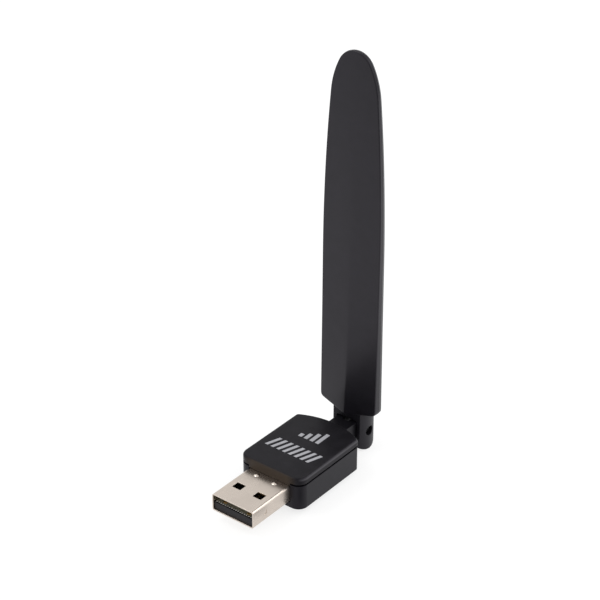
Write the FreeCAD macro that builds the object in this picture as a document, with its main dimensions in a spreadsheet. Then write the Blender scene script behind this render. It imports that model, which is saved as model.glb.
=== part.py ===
import FreeCAD, Part
import math
import os
import Sketcher

# USB wifi adapter: a plug and housing, a knuckle that turns about the plug's axis, and a folding
# blade antenna.  Millimetres.  The origin is where the plug's axis meets the housing's front face;
# the plug points along -Y, +X is its width and +Z is up.  The swivel axis is the Y axis, and the
# antenna's pins lie along X at the same height, so both joints' axes meet the plug's axis.

DIMENSIONS = (
    ("plug_width", 12.0, "USB-A shell, outside width"),
    ("plug_height", 4.5, "USB-A shell, outside height"),
    ("plug_reach", 13.0, "shell in front of the housing"),
    ("plug_inside", 5.6, "shell behind the housing's front face"),
    ("plug_wall", 0.3, "shell sheet thickness"),
    ("plug_corner", 0.6, "shell outside corner radius"),
    ("window_width", 2.4, "latch window along X"),
    ("window_length", 2.1, "latch window along Y"),
    ("window_spacing", 6.0, "between the window centres"),
    ("window_front", 8.15, "front edge of the windows, ahead of the housing"),
    ("tongue_depth", 0.1, "top of the insulator's tongue below the plug's axis"),
    ("tongue_setback", 0.4, "tongue's front end behind the shell's mouth"),
    ("block_front", 1.0, "insulator's rear block, ahead of the housing's front face"),
    ("block_rear", 6.2, "insulator's rear face"),
    ("contact_width", 1.0, "contact strip width"),
    ("contact_thickness", 0.25, "contact strip thickness"),
    ("body_width", 18.2, "housing width"),
    ("side_length", 21.8, "housing length along its sides"),
    ("rear_bulge", 2.4, "how far the rear edge bows out"),
    ("corner_radius", 2.6, "front vertical corners"),
    ("rear_corner", 1.0, "rear vertical corners"),
    ("depth_below", 3.82, "housing bottom below the plug's axis"),
    ("tray_height", 6.39, "bottom shell height"),
    ("cover_height", 2.15, "top cover height"),
    ("wall", 1.2, "housing wall"),
    ("floor", 1.0, "housing floor and roof"),
    ("bottom_round", 0.35, "edge round under the tray"),
    ("cover_round", 0.5, "edge round on top of the cover"),
    ("groove_depth", 0.55, "shadow groove depth at the join"),
    ("groove_gap", 0.45, "shadow groove height"),
    ("rebate", 0.65, "tray wall left outside the cover's lip"),
    ("lip_depth", 1.0, "cover's lip below the join"),
    ("slip", 0.05, "clearance between fitted housing pieces"),
    ("journal_radius", 2.4, "knuckle journal"),
    ("running", 0.06, "radial clearance of the running fits"),
    ("flange_radius", 3.2, "knuckle flange inside the housing"),
    ("collar_radius", 3.3, "knuckle collar behind the housing"),
    ("flange_front", 21.4, "front face of the flange"),
    ("bearing_front", 22.5, "front face of the bearing wall"),
    ("collar_front", 24.35, "front face of the collar"),
    ("collar_rear", 25.6, "rear face of the collar"),
    ("lug_width", 1.4, "stop lug width"),
    ("lug_reach", 3.6, "stop lug's outer radius"),
    ("tongue_width", 5.6, "hinge tongue along X"),
    ("eye_radius", 2.8, "half height of the hinge tongue, and the radius of its eye"),
    ("hinge_reach", 32.28, "antenna pin axis behind the front face"),
    ("lead_slot", 1.6, "slot for the lead through the eye"),
    ("lead_slot_front", 29.0, "front end of that slot"),
    ("lead_radius", 0.565, "coaxial lead, 1.13 mm thick"),
    ("lead_bore", 0.75, "bore for the lead through the knuckle"),
    ("pin_radius", 1.2, "antenna hinge pins"),
    ("pin_recess", 1.1, "pin ends below the ear's outer face"),
    ("neck_radius", 4.89, "antenna neck"),
    ("neck_flat", 2.87, "flats on the neck, ahead of and behind the pin axis"),
    ("ear_round", 5.05, "rounding of the ears about the pin axis"),
    ("ear_gap", 5.8, "space between the ears"),
    ("gap_roof", 3.3, "top of that space above the pin axis"),
    ("blade_bottom", 4.75, "lowest point of the blade, in its middle, above the pin axis"),
    ("blade_corner", 6.35, "lower corners of the blade above the pin axis"),
    ("blade_knee", 30.2, "height where the thick foot runs out"),
    ("blade_tip", 96.0, "tip of the blade above the pin axis"),
    ("blade_width", 16.42, "blade width near the bottom"),
    ("blade_middle", 31.0, "plane where the two blade shells meet"),
    ("edge_bottom", 2.42, "thickness of the blade's side edge at the bottom"),
    ("edge_tip", 1.0, "thickness of the side edge at the tip"),
    ("crown_bottom", 1.42, "crease standing out of each face at the bottom"),
    ("crown_knee", 0.5, "crease at the knee"),
    ("crown_tip", 0.15, "crease at the tip"),
    ("tip_radius", 4.8, "tip arc"),
    ("shoulder_radius", 20.0, "arcs between the tip and the flanks"),
    ("flank_start", 46.7, "height where the straight sides begin to curve in"),
    ("blade_skin", 0.6, "blade shell thickness over the cavity"),
    ("cavity_bottom", 7.0, "cavity's lower end"),
    ("cavity_top", 65.0, "cavity's upper end"),
    ("cavity_width", 13.0, "cavity width"),
    ("spigot_width", 6.0, "fork spigot width"),
    ("spigot_thickness", 1.9, "fork spigot thickness"),
    ("spigot_top", 14.0, "top of the fork spigot"),
    ("board_thickness", 1.0, "circuit board"),
    ("board_width", 15.2, "circuit board width"),
    ("board_front", 1.9, "front ends of the board's two arms"),
    ("board_notch", 6.4, "rear end of the notch for the plug"),
    ("board_rear", 20.6, "rear edge of the board"),
    ("peg_radius", 0.5, "locating pegs in the board"),
    ("ink", 0.03, "printed ink thickness"),
    ("post_radius", 1.0, "posts under the circuit board"),
    ("post_side", 6.2, "post axes to each side of the middle"),
    ("post_front", 9.4, "front pair of posts"),
    ("post_rear", 18.6, "rear pair of posts, which carry the pegs"),
    ("peg_height", 0.4, "pegs above the circuit board"),
    ("bearing_wall", 1.0, "extra wall in front of the rear wall, where the journal turns"),
    ("bearing_half", 5.0, "half width of that wall"),
    ("flange_space", 0.15, "space around the flange"),
    ("stop_width", 1.3, "turn stops beside the flange"),
    ("cover_relief", 5.3, "half width of the cover's opening over the bearing wall"),
    ("saddle_bottom", 1.0, "lower face of the cover's saddle above the swivel axis"),
    ("bump_height", 0.28, "domed stop bumps on the plug"),
    ("bump_radius", 0.72, "stop bumps' radius where they meet the plug's top"),
    ("wing_reach", 0.9, "solder wings beside the plug"),
    ("wing_length", 1.3, "solder wings along Y"),
    ("contact_sink", 0.2, "contact's underside below the tongue's top"),
    ("contact_bend", 0.2, "contact's bend behind the insulator"),
    ("contact_foot", 1.8, "contact's foot on the board"),
    ("contact_slack", 0.02, "clearance beside each contact"),
    ("pin_clearance", 0.05, "radial clearance of the pins in the ears"),
    ("fork_lead_radius", 0.85, "hole for the lead through the neck"),
    ("lead_channel", 1.6, "channel for the lead up the spigot"),
    ("lead_end", 0.65, "lead ends, either side of the hinge's middle"),
    ("antenna_board_width", 5.0, "antenna board width"),
    ("antenna_board_low", 14.4, "antenna board's lower end"),
    ("antenna_board_high", 60.0, "antenna board's upper end"),
    ("antenna_board_thick", 0.3, "antenna board thickness"),
    ("foil", 0.05, "copper on the antenna board"),
)

SINK = 0.1      # how far a pad starts inside the material that it joins
CLEAR = 1.0     # how far a cutting shape runs past the faces that it cuts


class Size:
    """A length from the sheet: its number now, and the expression that keeps it bound."""

    def __init__(self, number, text):
        self.number = float(number)
        self.text = text

    def combine(self, other, sign, number):
        return Size(number, f"({self.text} {sign} {size(other).text})")

    def __add__(self, other):
        return self.combine(other, "+", self.number + size(other).number)

    def __sub__(self, other):
        return self.combine(other, "-", self.number - size(other).number)

    def __mul__(self, other):
        return self.combine(other, "*", self.number * size(other).number)

    def __truediv__(self, other):
        return self.combine(other, "/", self.number / size(other).number)

    def __neg__(self):
        return Size(-self.number, f"(0 - {self.text})")

    def __radd__(self, other):
        return size(other) + self

    def __rsub__(self, other):
        return size(other) - self

    def __rmul__(self, other):
        return size(other) * self


def size(value):
    """A plain number as a Size; a Size as it is."""
    if isinstance(value, Size):
        return value
    return Size(value, f"{value:.6g}" if value >= 0 else f"(0 - {-value:.6g})")


document = FreeCAD.newDocument("usb_wifi_adapter")
sheet = document.addObject("Spreadsheet::Sheet", "dims")
for row, (name, value, note) in enumerate(DIMENSIONS, start=1):
    sheet.set(f"A{row}", name)
    sheet.set(f"B{row}", str(value))
    sheet.set(f"C{row}", note)
    sheet.setAlias(f"B{row}", name)
document.recompute()
dims = {name: Size(value, f"dims.{name}") for name, value, note in DIMENSIONS}


class Dimensions:
    """The sheet's sizes by name, and the lengths worked out from them."""

    def __init__(self, table):
        self.__dict__.update(table)
        self.bottom = -self.depth_below
        self.join = self.bottom + self.tray_height
        self.top = self.join + self.cover_height
        self.rear_radius = ((self.body_width / 2) * (self.body_width / 2)
                            + self.rear_bulge * self.rear_bulge) / (2 * self.rear_bulge)
        self.rear_centre = self.side_length + self.rear_bulge - self.rear_radius
        self.tongue_top = -self.tongue_depth
        self.plug_opening = self.plug_width + 2 * self.slip
        self.bearing_radius = self.journal_radius + self.running
        self.board_top = -self.lead_radius
        self.board_bottom = self.board_top - self.board_thickness


d = Dimensions(dims)


# ---- helpers: sketches and features whose sizes follow the sheet ----

def constrain(sketch, kind, *arguments):
    """One sketch constraint; a Size as its last value is bound to the sheet."""
    *places, value = arguments
    index = sketch.addConstraint(Sketcher.Constraint(kind, *places, size(value).number))
    if isinstance(value, Size):
        sketch.setExpression(f"Constraints[{index}]", value.text)


def place(sketch, geometry, point, x, y):
    """Fix a point of the sketch at x, y from its origin."""
    constrain(sketch, "DistanceX", -1, 1, geometry, point, x)
    constrain(sketch, "DistanceY", -1, 1, geometry, point, y)


def polygon(sketch, points):
    """A closed outline of straight lines through the points."""
    ends = [FreeCAD.Vector(size(x).number, size(y).number, 0) for x, y in points]
    lines = [sketch.addGeometry(Part.LineSegment(start, end))
             for start, end in zip(ends, ends[1:] + ends[:1])]
    for line, following in zip(lines, lines[1:] + lines[:1]):
        sketch.addConstraint(Sketcher.Constraint("Coincident", line, 2, following, 1))
    for line, (x, y) in zip(lines, points):
        place(sketch, line, 1, x, y)


def rectangle(sketch, left, right, low, high):
    polygon(sketch, [(left, low), (right, low), (right, high), (left, high)])


def circle(sketch, x, y, radius):
    centre = FreeCAD.Vector(size(x).number, size(y).number, 0)
    index = sketch.addGeometry(Part.Circle(centre, FreeCAD.Vector(0, 0, 1), size(radius).number))
    place(sketch, index, 3, x, y)
    constrain(sketch, "Radius", index, radius)


def line(sketch, start, end):
    return sketch.addGeometry(Part.LineSegment(FreeCAD.Vector(*start, 0), FreeCAD.Vector(*end, 0)))


def arc(sketch, centre, radius, start, end):
    """An arc, counter-clockwise between two angles in radians."""
    whole = Part.Circle(FreeCAD.Vector(*centre, 0), FreeCAD.Vector(0, 0, 1), radius)
    return sketch.addGeometry(Part.ArcOfCircle(whole, start, end))


def housing_outline(sketch, inset):
    """The housing in plan, moved in by inset: two round front corners and a bowed rear edge."""
    half = d.body_width / 2 - inset
    radius = d.corner_radius - inset
    rear = d.rear_radius - inset
    inset = size(inset)
    hx, r, big = half.number, radius.number, rear.number
    front = inset.number
    centre_y = d.rear_centre.number
    rear_y = centre_y + math.sqrt(big * big - hx * hx)
    turn = math.acos(hx / big)
    front_line = line(sketch, (r - hx, front), (hx - r, front))
    right_corner = arc(sketch, (hx - r, front + r), r, -math.pi / 2, 0)
    right_side = line(sketch, (hx, front + r), (hx, rear_y))
    rear_arc = arc(sketch, (0, centre_y), big, turn, math.pi - turn)
    left_side = line(sketch, (-hx, rear_y), (-hx, front + r))
    left_corner = arc(sketch, (r - hx, front + r), r, math.pi, 1.5 * math.pi)
    for first, second in ((front_line, right_corner), (right_corner, right_side),
                          (left_side, left_corner), (left_corner, front_line)):
        sketch.addConstraint(Sketcher.Constraint("Tangent", first, 2, second, 1))
    for first, second in ((right_side, rear_arc), (rear_arc, left_side)):
        sketch.addConstraint(Sketcher.Constraint("Coincident", first, 2, second, 1))
    for side in (right_side, left_side):
        sketch.addConstraint(Sketcher.Constraint("Vertical", side))
    place(sketch, right_corner, 3, half - radius, inset + radius)
    constrain(sketch, "DistanceX", -1, 1, left_corner, 3, radius - half)
    place(sketch, rear_arc, 3, 0, d.rear_centre)
    for corner in (right_corner, left_corner):
        constrain(sketch, "Radius", corner, radius)
    constrain(sketch, "Radius", rear_arc, rear)


def rounded_rectangle(sketch, half_width, half_height, radius):
    """A rectangle about the sketch's origin with round corners."""
    w, h, r = size(half_width).number, size(half_height).number, size(radius).number
    corners = []
    sides = []
    for quarter, (sx, sy) in enumerate(((1, -1), (1, 1), (-1, 1), (-1, -1))):
        start = (quarter - 1) * math.pi / 2
        corners.append(arc(sketch, (sx * (w - r), sy * (h - r)), r, start, start + math.pi / 2))
    ends = (((w, r - h), (w, h - r)), ((w - r, h), (r - w, h)),
            ((-w, h - r), (-w, r - h)), ((r - w, -h), (w - r, -h)))
    for start, end in ends:
        sides.append(line(sketch, start, end))
    for index, side in enumerate(sides):
        following = corners[(index + 1) % 4]
        sketch.addConstraint(Sketcher.Constraint("Tangent", corners[index], 2, side, 1))
        sketch.addConstraint(Sketcher.Constraint("Tangent", side, 2, following, 1))
    across = half_width - radius
    up = half_height - radius
    for corner, x, y in zip(corners, (across, across, -across, -across), (-up, up, up, -up)):
        place(sketch, corner, 3, x, y)
    constrain(sketch, "Radius", corners[0], radius)


def new_body(label):
    body = document.addObject("PartDesign::Body", label)
    body.Label = label
    return body


def sketch_on(body, role, offset=0.0):
    """A sketch on one of the body's origin planes, moved along the plane's normal."""
    plane = next(item for item in body.Origin.OriginFeatures if item.Role == role)
    sketch = body.newObject("Sketcher::SketchObject", f"{body.Name}_sketch")
    sketch.AttachmentSupport = [(plane, "")]
    sketch.MapMode = "FlatFace"
    sketch.AttachmentOffset = FreeCAD.Placement(FreeCAD.Vector(0, 0, size(offset).number),
                                                FreeCAD.Rotation())
    if isinstance(offset, Size):
        sketch.setExpression("AttachmentOffset.Base.z", offset.text)
    return sketch


def check_change(body, before, grows):
    """Stop if the body's newest feature changed nothing, or changed it the wrong way."""
    document.recompute()
    volume = body.Tip.Shape.Volume
    if (volume <= before + 1e-6) if grows else (volume >= before - 1e-6):
        raise ValueError(f"{body.Name}: {body.Tip.Name} went from {before:.4f} to {volume:.4f}")


def volume_of(body):
    document.recompute()
    return body.Tip.Shape.Volume if body.Tip else 0.0


def extrude(body, kind, sketch, length, reverse):
    before = volume_of(body)
    feature = body.newObject(f"PartDesign::{kind}", f"{body.Name}_{kind.lower()}")
    feature.Profile = sketch
    feature.Length = size(length).number
    if isinstance(length, Size):
        feature.setExpression("Length", length.text)
    feature.Reversed = reverse
    sketch.Visibility = False
    check_change(body, before, kind == "Pad")
    return feature


def pad(body, sketch, length, reverse=False):
    """Grow along the sketch plane's normal, or against it when reversed."""
    return extrude(body, "Pad", sketch, length, reverse)


def pocket(body, sketch, length, reverse=False):
    """Cut against the sketch plane's normal, or along it when reversed."""
    return extrude(body, "Pocket", sketch, length, reverse)


def pad_up(body, low, high, draw):
    """Pad along +Z between two heights; draw fills in the sketch."""
    sketch = sketch_on(body, "XY_Plane", low)
    draw(sketch)
    return pad(body, sketch, high - low)


def cut_down(body, high, low, draw):
    """Pocket along -Z between two heights."""
    sketch = sketch_on(body, "XY_Plane", high)
    draw(sketch)
    return pocket(body, sketch, high - low)


def pad_back(body, front, rear, draw):
    """Pad along +Y between two distances; the sketch's axes are X and Z."""
    sketch = sketch_on(body, "XZ_Plane", -size(front))
    draw(sketch)
    return pad(body, sketch, rear - front, reverse=True)


def cut_back(body, front, rear, draw):
    """Pocket along +Y between two distances; the sketch's axes are X and Z."""
    sketch = sketch_on(body, "XZ_Plane", -size(front))
    draw(sketch)
    return pocket(body, sketch, rear - front)


def pad_across(body, half_width, draw):
    """Pad along X, as far to each side of the middle; the sketch's axes are Y and Z."""
    sketch = sketch_on(body, "YZ_Plane", -size(half_width))
    draw(sketch)
    return pad(body, sketch, 2 * half_width)


def cut_across(body, half_width, draw):
    """Pocket along X, as far to each side of the middle; the sketch's axes are Y and Z."""
    sketch = sketch_on(body, "YZ_Plane", size(half_width))
    draw(sketch)
    return pocket(body, sketch, 2 * half_width)


def edge_names(shape, wanted):
    """Names of the shape's edges for which wanted(edge) is true."""
    return [f"Edge{index}" for index, edge in enumerate(shape.Edges, start=1) if wanted(edge)]


def fillet(body, radius, wanted):
    before = volume_of(body)
    names = edge_names(body.Tip.Shape, wanted)
    base = body.Tip
    feature = body.newObject("PartDesign::Fillet", f"{body.Name}_fillet")
    feature.Base = (base, names)
    feature.Radius = radius.number
    feature.setExpression("Radius", radius.text)
    document.recompute()
    if abs(volume_of(body) - before) < 1e-6:
        raise ValueError(f"{body.Name}: fillet changed nothing")
    return feature


def straight_along(axis):
    """A test for straight edges parallel to an axis."""
    def wanted(edge):
        if edge.Curve.TypeId != "Part::GeomLine":
            return False
        return abs(abs(edge.Curve.Direction.dot(axis)) - 1) < 1e-6
    return wanted


ALONG_Y = straight_along(FreeCAD.Vector(0, 1, 0))
ALONG_Z = straight_along(FreeCAD.Vector(0, 0, 1))


def set_size(item, name, value):
    setattr(item, name, size(value).number)
    if isinstance(value, Size):
        item.setExpression(name, value.text)


def set_base(item, x, y, z):
    """Place an item with its corner or centre at x, y, z."""
    item.Placement.Base = FreeCAD.Vector(size(x).number, size(y).number, size(z).number)
    for letter, value in zip("xyz", (x, y, z)):
        if isinstance(value, Size):
            item.setExpression(f"Placement.Base.{letter}", value.text)


def box(label, x, y, z):
    """A box between pairs of limits."""
    item = document.addObject("Part::Box", label)
    for name, (low, high) in zip(("Length", "Width", "Height"), (x, y, z)):
        set_size(item, name, high - low)
    set_base(item, x[0], y[0], z[0])
    return item


def rod(label, start, axis, radius, length):
    """A cylinder from a starting point along an axis."""
    item = document.addObject("Part::Cylinder", label)
    set_size(item, "Radius", radius)
    set_size(item, "Height", length)
    item.Placement.Rotation = FreeCAD.Rotation(FreeCAD.Vector(0, 0, 1), FreeCAD.Vector(*axis))
    set_base(item, *start)
    return item


def combine(kind, label, first, *others):
    """A chain of Part booleans, the last of which carries the label."""
    result = first
    for count, other in enumerate(others, start=1):
        name = label if count == len(others) else f"{label}_step"
        step = document.addObject(f"Part::{kind}", name)
        step.Base = result
        step.Tool = other
        result = step
    return result


def group(label, items):
    """Separate pieces that share one node."""
    item = document.addObject("Part::Compound", label)
    item.Links = items
    return item


# ---- housing ----

def draw_rectangle(left, right, low, high):
    return lambda sketch: rectangle(sketch, left, right, low, high)


def draw_circle(x, y, radius):
    return lambda sketch: circle(sketch, x, y, radius)


def draw_outline(inset):
    return lambda sketch: housing_outline(sketch, inset)


def on_rear_corner(edge):
    """One of the two vertical edges where the sides meet the bowed rear."""
    return ALONG_Z(edge) and abs(edge.CenterOfMass.y - d.side_length.number) < 0.01


def bottom_shell():
    """Tray with the plug opening, board posts, the knuckle's half bearing and its turn stops."""
    body = new_body("bottom_shell")
    pad_up(body, d.bottom, d.join, draw_outline(0.0))
    fillet(body, d.rear_corner, on_rear_corner)
    fillet(body, d.bottom_round,
           lambda edge: edge.BoundBox.ZMax < d.bottom.number + 0.01)
    floor_top = d.bottom + d.floor
    cut_down(body, d.join, floor_top, draw_outline(d.wall))
    cut_down(body, d.join, d.join - d.lip_depth - SINK, draw_outline(d.rebate))
    half_opening = d.plug_opening / 2
    cut_back(body, -CLEAR, d.wall + SINK,
             draw_rectangle(-half_opening, half_opening,
                            -(d.plug_height / 2 + d.slip), d.join + CLEAR))
    pad_back(body, d.bearing_front, d.bearing_front + d.bearing_wall,
             draw_rectangle(-d.bearing_half, d.bearing_half, floor_top - SINK, d.join))
    for side in (-1, 1):
        for y in (d.post_front, d.post_rear):
            pad_up(body, floor_top - SINK, d.board_bottom,
                   draw_circle(side * d.post_side, y, d.post_radius))
        pad_up(body, d.board_bottom - SINK, d.board_top + d.peg_height,
               draw_circle(side * d.post_side, d.post_rear, d.peg_radius))
    flange_gap = d.flange_radius + d.flange_space
    cut_back(body, d.flange_front - SINK, d.bearing_front, draw_circle(0, 0, flange_gap))
    for side in (-1, 1):
        inner = side * flange_gap
        outer = side * (flange_gap + d.stop_width)
        low_x, high_x = (outer, inner) if side < 0 else (inner, outer)
        pad_back(body, d.flange_front, d.bearing_front + SINK,
                 draw_rectangle(low_x, high_x, floor_top - SINK, -(d.lug_width / 2 + d.slip)))
    cut_back(body, d.flange_front, d.collar_front, draw_circle(0, 0, d.bearing_radius))
    cut_back(body, d.flange_front, d.collar_front,
             draw_rectangle(-d.bearing_radius, d.bearing_radius, 0, d.join + CLEAR))
    return body


def lip_ring(sketch):
    """The cover's lip between two outlines."""
    housing_outline(sketch, d.rebate + d.slip)
    housing_outline(sketch, d.wall + SINK)


def top_cover():
    """Lid with a shadow groove, a lip, and tabs that close the plug opening and the bearing."""
    body = new_body("top_cover")
    pad_up(body, d.join, d.top, draw_outline(0.0))
    fillet(body, d.rear_corner, on_rear_corner)
    fillet(body, d.cover_round, lambda edge: edge.BoundBox.ZMin > d.top.number - 0.01)
    sketch = sketch_on(body, "XY_Plane", d.join)
    housing_outline(sketch, d.wall + SINK)
    pocket(body, sketch, d.cover_height - d.floor, reverse=True)
    sketch = sketch_on(body, "XY_Plane", d.join)
    housing_outline(sketch, -CLEAR)
    housing_outline(sketch, d.groove_depth)
    pocket(body, sketch, d.groove_gap, reverse=True)
    sketch = sketch_on(body, "XY_Plane", d.join)
    lip_ring(sketch)
    pad(body, sketch, d.lip_depth, reverse=True)
    half_opening = d.plug_opening / 2
    below_lip = d.join - d.lip_depth - CLEAR
    cut_back(body, d.rebate, d.wall + CLEAR,
             draw_rectangle(-half_opening, half_opening, below_lip, d.join))
    cut_back(body, d.side_length - CLEAR, d.collar_front,
             draw_rectangle(-d.cover_relief, d.cover_relief, below_lip, d.join))
    tab = half_opening - d.slip
    pad_back(body, 0.0, d.wall,
             draw_rectangle(-tab, tab, d.plug_height / 2 + d.slip, d.join + d.groove_gap + SINK))
    saddle = d.bearing_radius - d.slip
    pad_back(body, d.bearing_front, d.side_length + d.rear_bulge - d.groove_depth,
             draw_rectangle(-saddle, saddle, d.saddle_bottom, d.join + d.groove_gap + SINK))
    cut_back(body, d.bearing_front - CLEAR, d.collar_front,
             draw_circle(0, 0, d.bearing_radius))
    return body


BAR_BASE = 14.4
BAR_WIDTH = 1.0
BAR_PITCH = 1.65
BAR_HEIGHTS = (1.3, 2.4, 3.5, 4.6)
STRIPE_COUNT = 8
STRIPE_PITCH = 1.7
STRIPE_WIDTH = 0.85
STRIPE_SLANT = 1.3
STRIPE_ENDS = (7.0, 11.0)


def lid_print():
    """Plain silver graphic on the cover: four rising bars and a row of slanted stripes."""
    sketch = document.addObject("Sketcher::SketchObject", "lid_print_sketch")
    set_base(sketch, 0, 0, d.top)
    for index, height in enumerate(BAR_HEIGHTS):
        left = (index - (len(BAR_HEIGHTS) - 1) / 2) * BAR_PITCH - BAR_WIDTH / 2
        rectangle(sketch, left, left + BAR_WIDTH, BAR_BASE, BAR_BASE + height)
    low, high = STRIPE_ENDS
    for index in range(STRIPE_COUNT):
        left = (index - (STRIPE_COUNT - 1) / 2) * STRIPE_PITCH - (STRIPE_WIDTH + STRIPE_SLANT) / 2
        polygon(sketch, [(left, low), (left + STRIPE_WIDTH, low),
                         (left + STRIPE_WIDTH + STRIPE_SLANT, high), (left + STRIPE_SLANT, high)])
    print_layer = document.addObject("Part::Extrusion", "lid_print")
    print_layer.Base = sketch
    print_layer.DirMode = "Normal"
    print_layer.Solid = True
    set_size(print_layer, "LengthFwd", d.ink)
    return print_layer


# ---- plug ----

CONTACTS = (("usb_contact_power", -3.5, 0.9), ("usb_contact_data_minus", -1.0, 1.9),
            ("usb_contact_data_plus", 1.0, 1.9), ("usb_contact_ground", 3.5, 0.9))
BUMP_SPACING = 5.2
BUMP_AHEAD = 1.3
WING_FRONTS = (2.2, 4.0)
DIMPLE_AHEAD = 8.8
DIMPLE_RADIUS = 0.65
DIMPLE_DEPTH = 0.12


def stop_bump(label, side):
    """Low dome on the plug's top, sunk a little into the sheet."""
    radius, height = d.bump_radius, d.bump_height
    ball_radius = (radius * radius + height * height) / (2 * height)
    top = d.plug_height / 2
    place = (side * BUMP_SPACING / 2, -BUMP_AHEAD)
    ball = document.addObject("Part::Sphere", f"{label}_ball")
    set_size(ball, "Radius", ball_radius)
    set_base(ball, *place, top + height - ball_radius)
    limit = rod(f"{label}_limit", (*place, top - SINK), (0, 0, 1), radius, height + CLEAR)
    return combine("Common", label, ball, limit)


def usb_shell():
    """Folded steel shell: latch windows above and below, stop bumps, side dimples and wings."""
    body = new_body("usb_shell_sheet")
    half_width = d.plug_width / 2
    half_height = d.plug_height / 2
    sketch = sketch_on(body, "XZ_Plane", d.plug_reach)
    rounded_rectangle(sketch, half_width, half_height, d.plug_corner)
    rounded_rectangle(sketch, half_width - d.plug_wall, half_height - d.plug_wall,
                      d.plug_corner - d.plug_wall)
    pad(body, sketch, d.plug_reach + d.plug_inside, reverse=True)
    for side in (-1, 1):
        middle = side * d.window_spacing / 2
        cut_down(body, half_height + CLEAR, -half_height - CLEAR,
                 draw_rectangle(middle - d.window_width / 2, middle + d.window_width / 2,
                                -d.window_front, -d.window_front + d.window_length))
    for reverse, offset in ((False, half_width), (True, -half_width)):
        sketch = sketch_on(body, "YZ_Plane", offset)
        circle(sketch, -DIMPLE_AHEAD, 0, DIMPLE_RADIUS)
        pocket(body, sketch, DIMPLE_DEPTH, reverse)
    for front in WING_FRONTS:
        for low_x, high_x in ((half_width - SINK, half_width + d.wing_reach),
                              (-half_width - d.wing_reach, -half_width + SINK)):
            pad_back(body, front, front + d.wing_length,
                     draw_rectangle(low_x, high_x, d.board_top, d.board_top + d.plug_wall))
    return combine("Fuse", "usb_shell", body, stop_bump("left_bump", -1), stop_bump("right_bump", 1))


def usb_insulator():
    """Black tongue in the lower half of the shell, and a full-height block behind it."""
    body = new_body("usb_insulator")
    half_width = d.plug_width / 2 - d.plug_wall - d.slip
    half_height = d.plug_height / 2 - d.plug_wall - d.contact_slack
    pad_back(body, d.tongue_setback - d.plug_reach, d.block_rear,
             draw_rectangle(-half_width, half_width, -half_height, d.tongue_top))
    pad_back(body, -d.block_front, d.block_rear,
             draw_rectangle(-half_width, half_width, -half_height, half_height))
    fillet(body, d.plug_corner - d.plug_wall / 2,
           lambda edge: ALONG_Y(edge) and abs(abs(edge.CenterOfMass.x) - half_width.number) < 0.01
           and abs(edge.CenterOfMass.z) > half_height.number - 0.01)
    low = d.tongue_top - d.contact_sink
    reach = d.contact_width / 2 + d.contact_slack
    for label, middle, setback in CONTACTS:
        cut_back(body, d.tongue_setback - d.plug_reach + setback - SINK, d.block_rear + CLEAR,
                 draw_rectangle(middle - reach, middle + reach, low, low + d.contact_thickness))
    return body


def usb_contact(label, middle, setback):
    """Strip along the tongue, bent down behind the block to a foot on the board."""
    body = new_body(label)
    low = d.tongue_top - d.contact_sink
    front = d.tongue_setback - d.plug_reach + setback
    bend = d.block_rear + d.contact_bend
    foot = bend + d.contact_foot
    strip = d.contact_thickness
    points = [(front, low), (bend, low), (bend, d.board_top), (foot, d.board_top),
              (foot, d.board_top + strip), (bend + strip, d.board_top + strip),
              (bend + strip, low + strip), (front, low + strip)]
    sketch = sketch_on(body, "YZ_Plane", middle - d.contact_width / 2)
    polygon(sketch, points)
    pad(body, sketch, d.contact_width)
    return body


# ---- circuit board and what it carries ----

CAPACITORS = ((-5.9, 10.2), (-4.9, 10.2), (2.0, 9.6), (4.6, 17.2), (3.4, 18.4), (5.6, 13.4),
              (5.6, 15.0), (-1.4, 9.2))
RESISTORS = ((4.6, 9.6), (4.6, 11.2), (-6.6, 13.6), (-6.6, 15.0))
MATCHING_PARTS = ((1.9, 12.4), (1.9, 13.6), (1.9, 14.8))
CHIP_MIDDLE = (-1.7, 13.0)
CRYSTAL_MIDDLE = (-5.2, 12.2)
REGULATOR_MIDDLE = (-5.0, 17.0)
REGULATOR_CASE = (2.9, 1.3, 1.0)
REGULATOR_STAND = 0.1
LEG_WIDTH = 0.4
LEG_HEIGHT = 0.4
LEG_REACH = 1.2
LEG_PLACES = ((-0.95, -1), (0.95, -1), (0.0, 1))
INDUCTOR_MIDDLE = (-2.1, 18.2)
INDUCTOR_BASE = 2.6
INDUCTOR_BASE_HEIGHT = 0.5
DRUM_RADIUS = 1.2
DRUM_HEIGHT = 1.0
BOARD_SLACK = 0.15


def circuit_board():
    """Board with a notch for the plug, and two holes over the tray's pegs."""
    body = new_body("circuit_board")
    half = d.board_width / 2
    notch = d.plug_width / 2 + BOARD_SLACK
    sketch = sketch_on(body, "XY_Plane", d.board_bottom)
    polygon(sketch, [(-half, d.board_front), (-notch, d.board_front), (-notch, d.board_notch),
                     (notch, d.board_notch), (notch, d.board_front), (half, d.board_front),
                     (half, d.board_rear), (-half, d.board_rear)])
    pad(body, sketch, d.board_thickness)
    for side in (-1, 1):
        cut_down(body, d.board_top + CLEAR, d.board_bottom - CLEAR,
                 draw_circle(side * d.post_side, d.post_rear, d.peg_radius + d.slip))
    return body


def on_board(label, middle, width, length, height):
    """A rectangular part standing on the board."""
    x, y = middle
    return box(label, (x - width / 2, x + width / 2), (y - length / 2, y + length / 2),
               (d.board_top, d.board_top + height))


def row_of_parts(label, middles, width, length, height):
    """Identical small parts that share one node."""
    parts = [on_board(f"{label}_{number}", middle, width, length, height)
             for number, middle in enumerate(middles, start=1)]
    return group(label, parts)


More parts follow.
